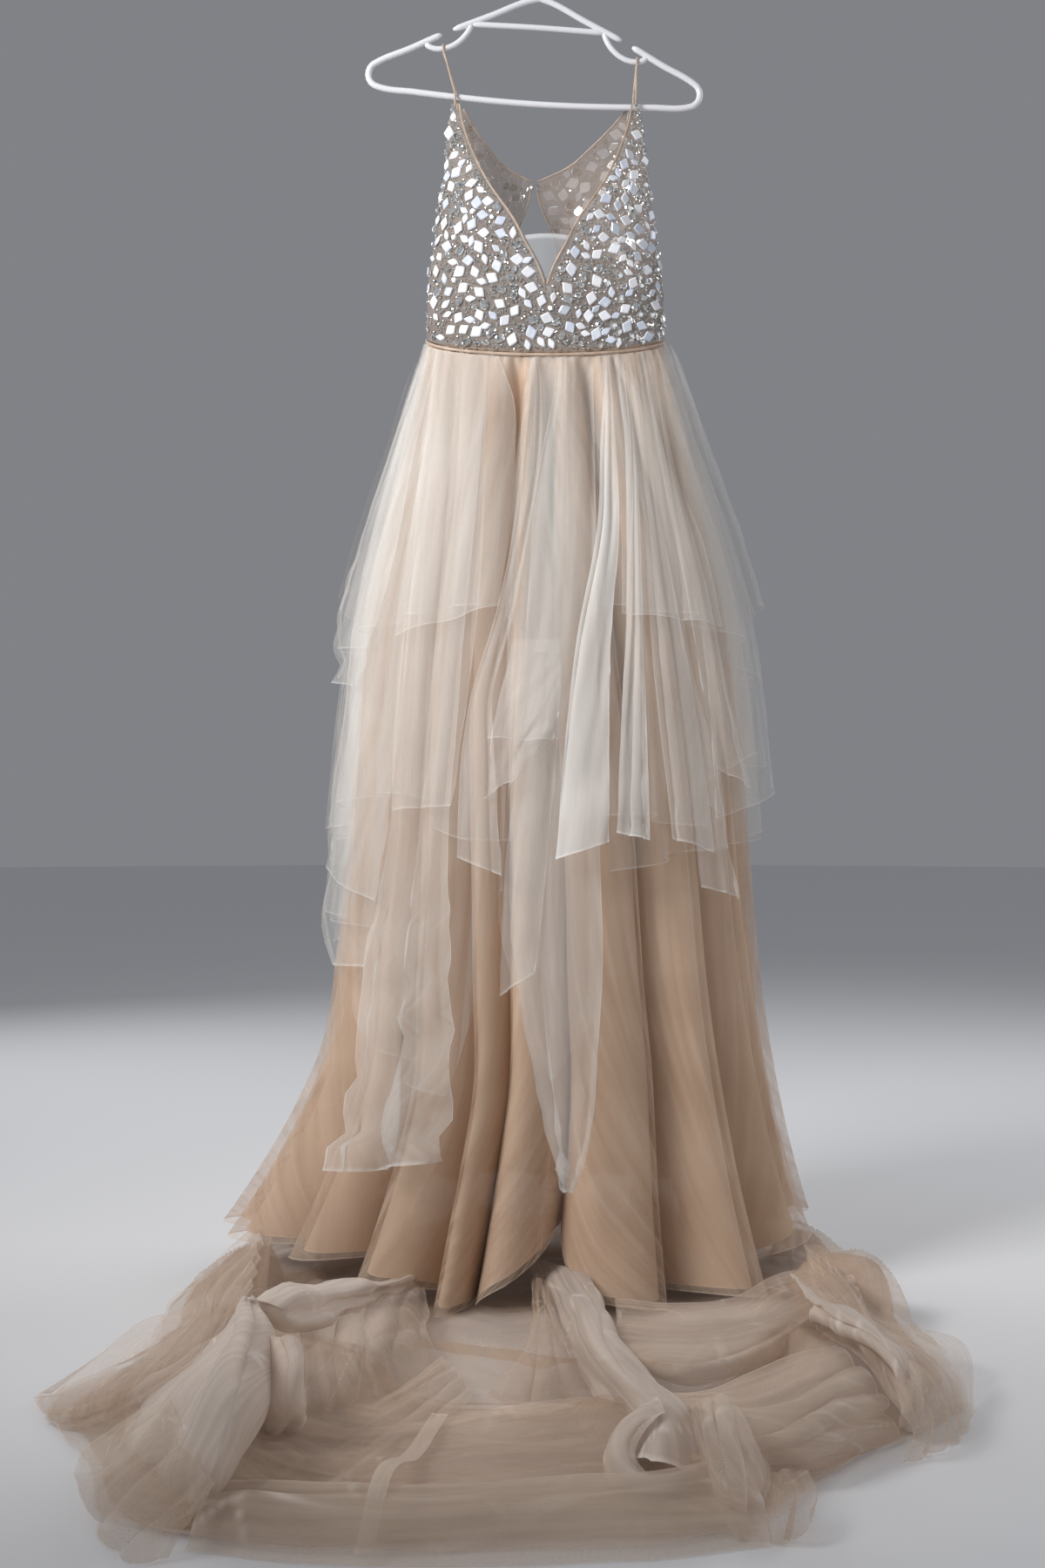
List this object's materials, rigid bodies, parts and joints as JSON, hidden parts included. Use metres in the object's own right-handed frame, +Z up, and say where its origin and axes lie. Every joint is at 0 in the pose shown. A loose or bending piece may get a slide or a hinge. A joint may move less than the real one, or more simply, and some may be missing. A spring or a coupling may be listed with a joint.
{
  "type": "tulle dress on a hanger",
  "caption": "Long V-necked gown with a stone-covered bodice, gathered handkerchief tulle layers and a floor train, hanging from a notched tube hanger.",
  "frame": {"origin": "inside top of the hanger's hook, where the rail or wall hook holds it", "axes": "+Z up along the hang, front of the gown towards -Y, +X to the right of someone facing its front"},
  "size_m": [0.9631, 1.3452, 1.684],
  "materials": {
    "nude_net": "fine nude net, sheer, with a faint grey cast",
    "tan_binding": "narrow satin bias binding, tan",
    "champagne_tulle": "soft matte tulle in many layers, warm champagne",
    "ivory_tulle": "sheer ivory tulle with raw edges",
    "pale_mesh": "plain sheer grey-white mesh",
    "white_plastic": "glossy moulded white plastic",
    "steel_wire": "bright nickel-plated wire",
    "pearl_stone": "flat pearly resin stones with bevelled rims",
    "clear_stone": "clear faceted stones with mirrored backs"
  },
  "bodies": {
    "root": {"bodice_front_left": "nude_net", "bodice_side_front_left": "nude_net", "bodice_back_left": "nude_net", "neck_binding_left": "tan_binding", "back_binding_left": "tan_binding", "keyhole_binding_left": "tan_binding", "strap_left": "tan_binding", "bodice_front_right": "nude_net", "bodice_side_front_right": "nude_net", "bodice_back_right": "nude_net", "neck_binding_right": "tan_binding", "back_binding_right": "tan_binding", "keyhole_binding_right": "tan_binding", "strap_right": "tan_binding", "modesty_panel": "pale_mesh", "closure_hook": "steel_wire", "closure_eye": "steel_wire", "waist_tape": "tan_binding", "hanger": "white_plastic", "underskirt_front_left": "champagne_tulle", "underskirt_front_right": "champagne_tulle", "underskirt_back_left": "champagne_tulle", "underskirt_back_right": "champagne_tulle", "overlay_long_left": "ivory_tulle", "overlay_long_right": "ivory_tulle", "overlay_long_back": "ivory_tulle", "overlay_middle_left": "ivory_tulle", "overlay_middle_right": "ivory_tulle", "overlay_middle_back": "ivory_tulle", "overlay_short_left": "ivory_tulle", "overlay_short_right": "ivory_tulle", "overlay_short_back": "ivory_tulle", "train_left": "champagne_tulle", "train_front": "champagne_tulle", "train_right": "champagne_tulle", "train_back": "champagne_tulle", "train_floor_layer": "champagne_tulle"}
  },
  "joints": []
}
